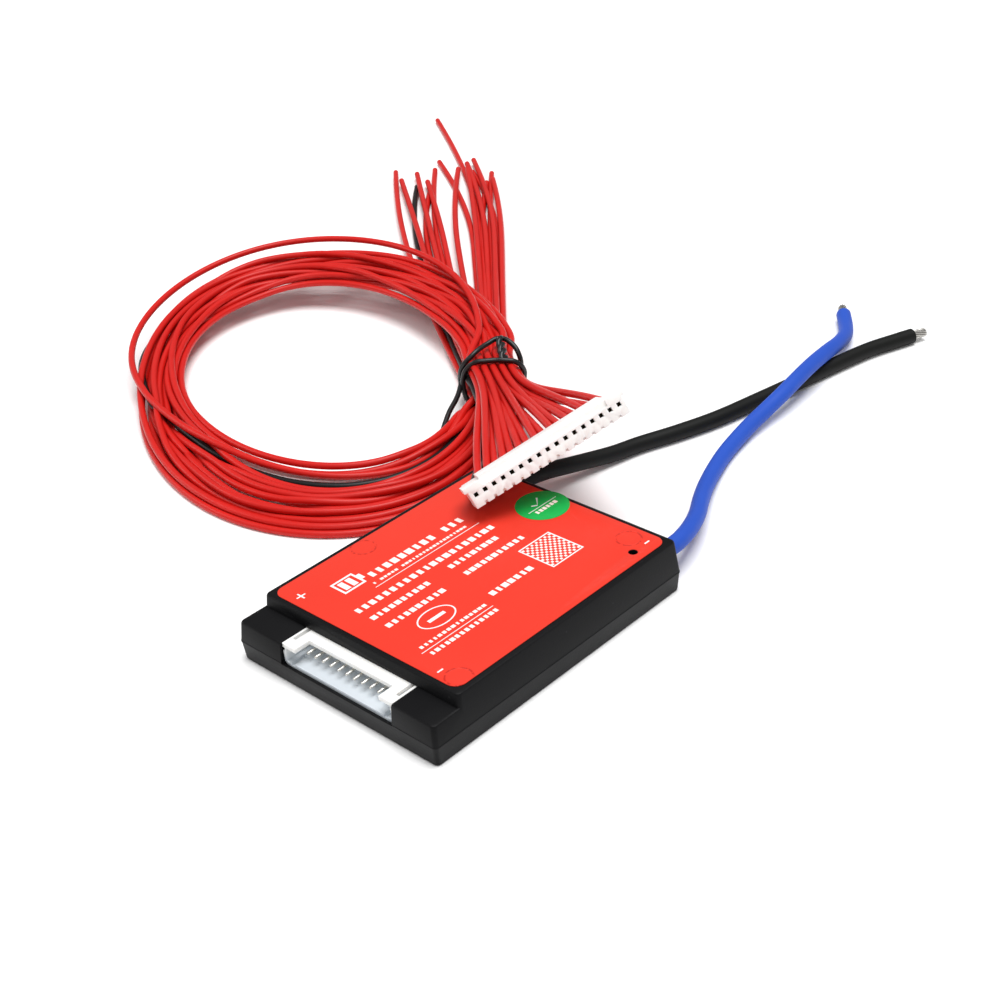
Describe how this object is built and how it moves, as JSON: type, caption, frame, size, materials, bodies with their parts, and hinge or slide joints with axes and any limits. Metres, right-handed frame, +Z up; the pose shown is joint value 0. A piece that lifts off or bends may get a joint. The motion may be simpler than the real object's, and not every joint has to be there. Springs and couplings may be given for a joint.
{
  "type": "battery management board",
  "caption": "Battery protection board in a flat two-part case with a sense socket, two power leads and an unplugged sense lead.",
  "frame": {"origin": "centre of the case's underside", "axes": "+X along the sense socket, +Y from the socket towards the power leads, +Z up through the label"},
  "size_m": [0.2362, 0.2377, 0.0309],
  "materials": {
    "case_plastic": "fine textured black moulding",
    "label_film": "semi-matt printed film",
    "sticker_film": "green printed film",
    "board_laminate": "green solder mask",
    "connector_plastic": "off-white moulding",
    "tinned_pin": "tin plated",
    "chip_moulding": "matt moulding compound",
    "resistor_black": "fired film",
    "shunt_alloy": "resistance alloy",
    "solder": "bright solder",
    "lead_black": "satin soft insulation",
    "lead_blue": "satin soft insulation",
    "tinned_copper": "tinned strands",
    "contact_brass": "plated crimp contact",
    "wire_red": "glossy insulation",
    "wire_black": "glossy insulation",
    "tie_black": "satin covered wire"
  },
  "bodies": {
    "root": {"lower_tray": "case_plastic", "upper_cover": "case_plastic", "label": "label_film", "inspection_sticker": "sticker_film", "circuit_board": "board_laminate", "socket_housing": "connector_plastic", "socket_pins": "tinned_pin", "monitor_chip": "chip_moulding", "monitor_chip_legs": "tinned_pin", "balance_resistors": "resistor_black", "shunt_resistors": "shunt_alloy", "solder_joints": "solder", "pack_lead": "lead_black", "battery_lead": "lead_blue", "lead_ends": "tinned_copper", "plug_housing": "connector_plastic", "plug_contacts": "contact_brass", "harness_coil": "wire_red", "harness_tie": "tie_black", "mosfet_1": "chip_moulding", "mosfet_2": "chip_moulding", "mosfet_3": "chip_moulding", "mosfet_4": "chip_moulding", "mosfet_5": "chip_moulding", "mosfet_6": "chip_moulding", "sense_wire_01": "wire_black", "sense_wire_02": "wire_red", "sense_wire_03": "wire_red", "sense_wire_04": "wire_red", "sense_wire_05": "wire_red", "sense_wire_06": "wire_red", "sense_wire_07": "wire_red", "sense_wire_08": "wire_red", "sense_wire_09": "wire_red", "sense_wire_10": "wire_red", "sense_wire_11": "wire_red", "sense_wire_12": "wire_red", "sense_wire_13": "wire_red", "sense_wire_14": "wire_red", "sense_wire_15": "wire_red", "sense_wire_16": "wire_red", "sense_wire_17": "wire_red"}
  },
  "joints": []
}
